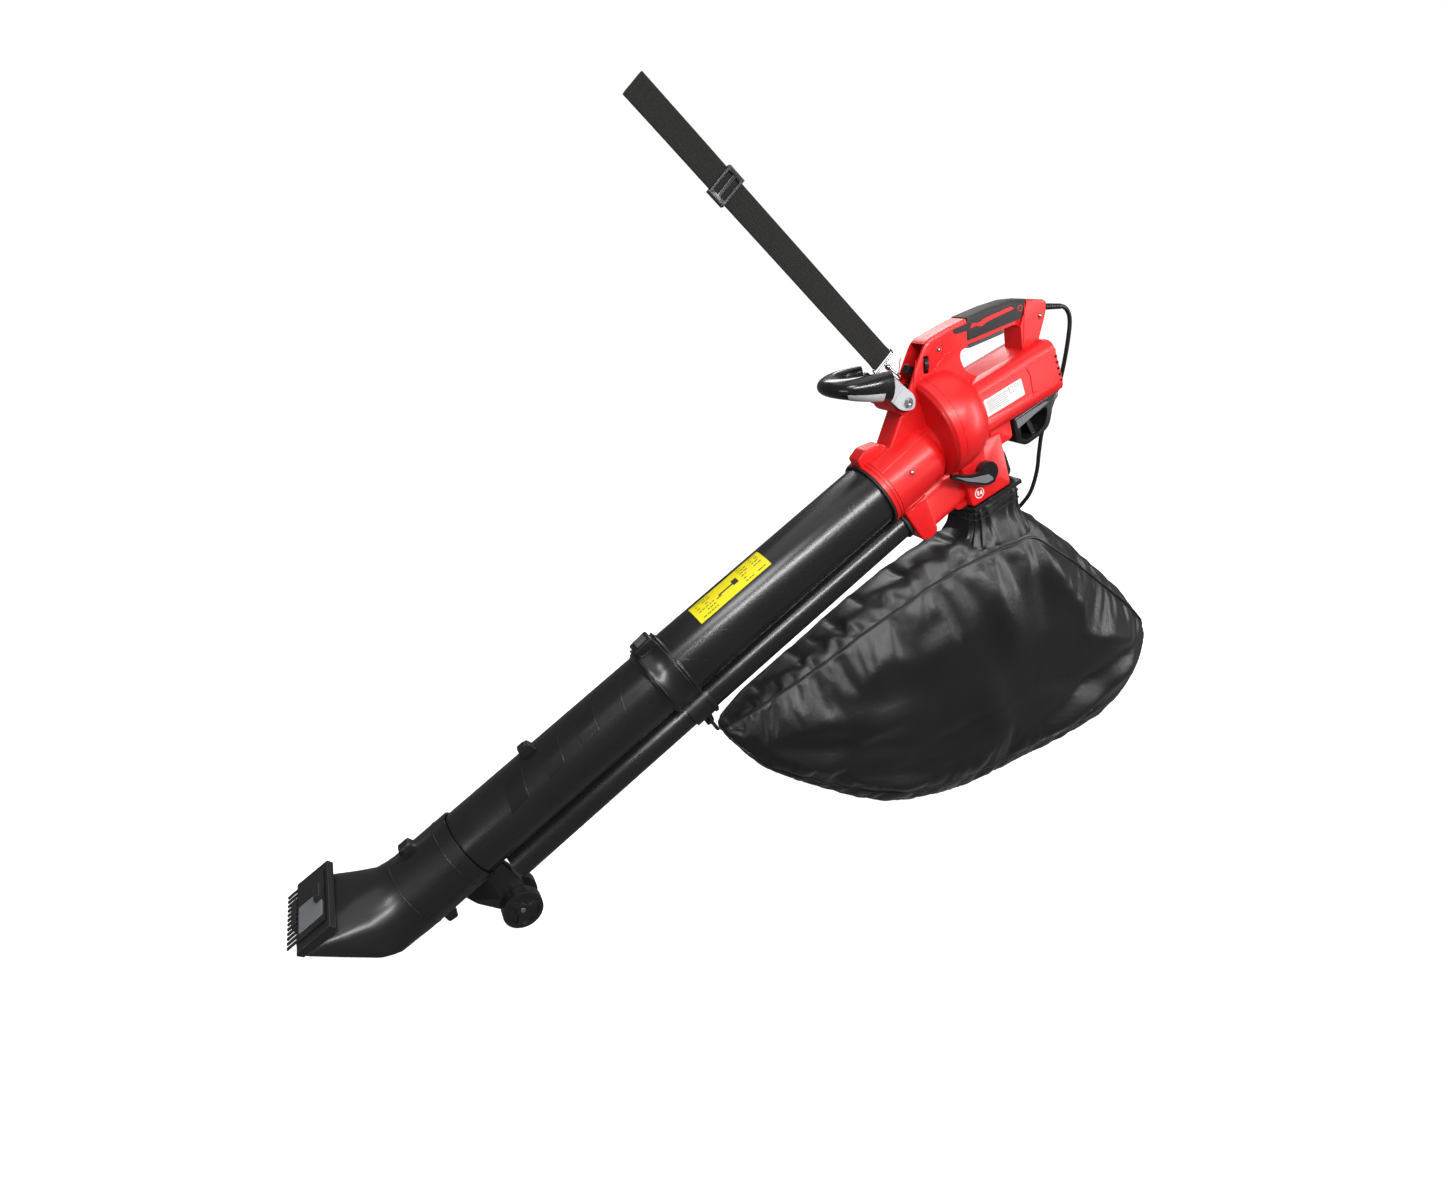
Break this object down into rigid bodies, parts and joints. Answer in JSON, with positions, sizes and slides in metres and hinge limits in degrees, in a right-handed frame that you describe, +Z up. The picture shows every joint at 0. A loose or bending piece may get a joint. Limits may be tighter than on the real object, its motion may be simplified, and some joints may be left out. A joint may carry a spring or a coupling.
{
  "type": "leaf blower",
  "caption": "Corded electric leaf blower and vacuum with suction and blower tubes, wheeled nozzle, collection bag, front handle, shoulder strap and short mains lead.",
  "frame": {"origin": "the centre of the main grip, between the finger gap and the top of the handle", "axes": "+Z up in the working pose, +X level and pointing back from the nozzle towards the motor, +Y to the left side, away from the selector lever; the suction tube slopes down towards -X at 34.2 degrees"},
  "size_m": [1.5913, 0.2311, 1.2099],
  "materials": {
    "red": "satin moulded red, fine texture",
    "black_plastic": "satin-gloss moulded black",
    "soft_grip": "soft-touch black",
    "dark_grey_plastic": "satin dark grey",
    "grey_plastic": "satin light grey",
    "wheel_rubber": "satin black",
    "steel": "zinc-plated",
    "copper": "laminations and copper windings",
    "cast_aluminium": "as cast",
    "nickel": "nickel-plated",
    "bag_fabric": "coated satin weave, black",
    "webbing": "coarse woven polypropylene, black",
    "white_label": "printed film",
    "yellow_label": "printed film",
    "cord_jacket": "matt black"
  },
  "bodies": {
    "tool": {"housing_right": "red", "housing_left": "red", "rear_vent_cap": "red", "bag_frame": "black_plastic", "rear_bracket": "black_plastic", "switch_body": "black_plastic", "tube_seal": "black_plastic", "suction_tube_upper": "black_plastic", "suction_tube_lower": "black_plastic", "tube_collar": "black_plastic", "blower_seal": "black_plastic", "blower_tube_upper": "black_plastic", "blower_tube_lower": "black_plastic", "blower_coupling": "black_plastic", "nozzle": "black_plastic", "wheel_bracket": "black_plastic", "bag_hook": "black_plastic", "plug": "black_plastic", "grip_overmould": "soft_grip", "brush_holder_right": "dark_grey_plastic", "brush_holder_left": "dark_grey_plastic", "motor_stator": "steel", "front_bearing": "steel", "rear_bearing": "steel", "trigger_pin": "steel", "latch_pin": "steel", "wheel_axle": "steel", "pivot_bolt": "steel", "pivot_nut": "steel", "front_motor_plate": "cast_aluminium", "rear_motor_plate": "cast_aluminium", "snap_hook": "nickel", "plug_pins": "nickel", "bag": "bag_fabric", "bag_neck": "bag_fabric", "nameplate": "white_label", "tube_label": "yellow_label", "cord": "cord_jacket", "strain_relief": "cord_jacket"},
    "trigger_body": {"trigger": "dark_grey_plastic"},
    "speed_wheel_body": {"speed_wheel": "black_plastic"},
    "front_button_body": {"front_button": "black_plastic"},
    "selector_body": {"selector_lever": "black_plastic"},
    "front_handle_body": {"front_grip": "soft_grip", "rib_plate_right": "grey_plastic", "rib_plate_left": "grey_plastic"},
    "wheel_right_body": {"wheel_right": "wheel_rubber"},
    "wheel_left_body": {"wheel_left": "wheel_rubber"},
    "rotor_body": {"rotor": "copper", "impeller": "black_plastic", "fan_nut": "steel"},
    "bag_latch_body": {"bag_latch": "black_plastic"},
    "tube_latch_body": {"tube_latch_button": "dark_grey_plastic"},
    "rake_body": {"rake_plate": "black_plastic"},
    "strap_body": {"wire_loop": "nickel", "shoulder_strap": "webbing"},
    "strap_slider_body": {"strap_slider": "black_plastic"},
    "hook_gate_body": {"hook_gate": "nickel"}
  },
  "joints": [
    {"name": "trigger_squeeze", "type": "hinge", "parent": "tool", "child": "trigger_body", "pos_m": [-0.03879, 0, -0.03543], "axis": [0, -1, 0], "range_deg": [0, 7], "stiffness_Nm_per_rad": 1.5, "springref_deg": -4.58},
    {"name": "speed_wheel_turn", "type": "hinge", "parent": "tool", "child": "speed_wheel_body", "pos_m": [-0.12727, -0.013, -0.06714], "axis": [0.9965, 0, 0.0839], "range_deg": [-135, 135]},
    {"name": "front_button_push", "type": "slide", "parent": "tool", "child": "front_button_body", "axis": [0.9459, 0, -0.3244], "range_m": [0, 0.003], "stiffness_N_per_m": 400, "springref_m": -0.001},
    {"name": "selector_turn", "type": "hinge", "parent": "tool", "child": "selector_body", "pos_m": [-0.01021, 0, -0.24596], "axis": [0, -1, 0], "range_deg": [0, 75]},
    {"name": "front_handle_swivel", "type": "hinge", "parent": "tool", "child": "front_handle_body", "pos_m": [-0.1717, 0, -0.12273], "axis": [0, -1, 0], "range_deg": [-25, 40]},
    {"name": "wheel_right_spin", "type": "hinge", "parent": "tool", "child": "wheel_right_body", "pos_m": [-0.81754, -0.02, -0.85545], "axis": [0, 1, 0], "continuous": true},
    {"name": "wheel_left_spin", "type": "hinge", "parent": "tool", "child": "wheel_left_body", "pos_m": [-0.81754, 0.02, -0.85545], "axis": [0, 1, 0], "continuous": true},
    {"name": "rotor_spin", "type": "hinge", "parent": "tool", "child": "rotor_body", "pos_m": [-0.07099, 0, -0.15706], "axis": [0.9121, 0, 0.4099], "continuous": true},
    {"name": "bag_latch_swing", "type": "hinge", "parent": "tool", "child": "bag_latch_body", "pos_m": [0.0385, 0, -0.2153], "axis": [0, -1, 0], "range_deg": [0, 35], "stiffness_Nm_per_rad": 0.3, "springref_deg": -8.59},
    {"name": "tube_latch_press", "type": "slide", "parent": "tool", "child": "tube_latch_body", "axis": [0.5621, 0, -0.8271], "range_m": [0, 0.003], "stiffness_N_per_m": 500, "springref_m": -0.001},
    {"name": "rake_slide", "type": "slide", "parent": "tool", "child": "rake_body", "axis": [0.8271, 0, 0.5621], "range_m": [0, 0.012]},
    {"name": "strap_swivel", "type": "hinge", "parent": "tool", "child": "strap_body", "pos_m": [-0.1627, 0, -0.09062], "axis": [-0.7385, 0, 0.6743], "range_deg": [-90, 90]},
    {"name": "strap_slider_slide", "type": "slide", "parent": "strap_body", "child": "strap_slider_body", "axis": [-0.7385, 0, 0.6743], "range_m": [-0.15, 0.12]},
    {"name": "hook_gate_swing", "type": "hinge", "parent": "tool", "child": "hook_gate_body", "pos_m": [-0.17895, 0.0065, -0.07579], "axis": [-0.6743, 0, -0.7385], "range_deg": [0, 18], "stiffness_Nm_per_rad": 0.02, "springref_deg": -8.59}
  ]
}
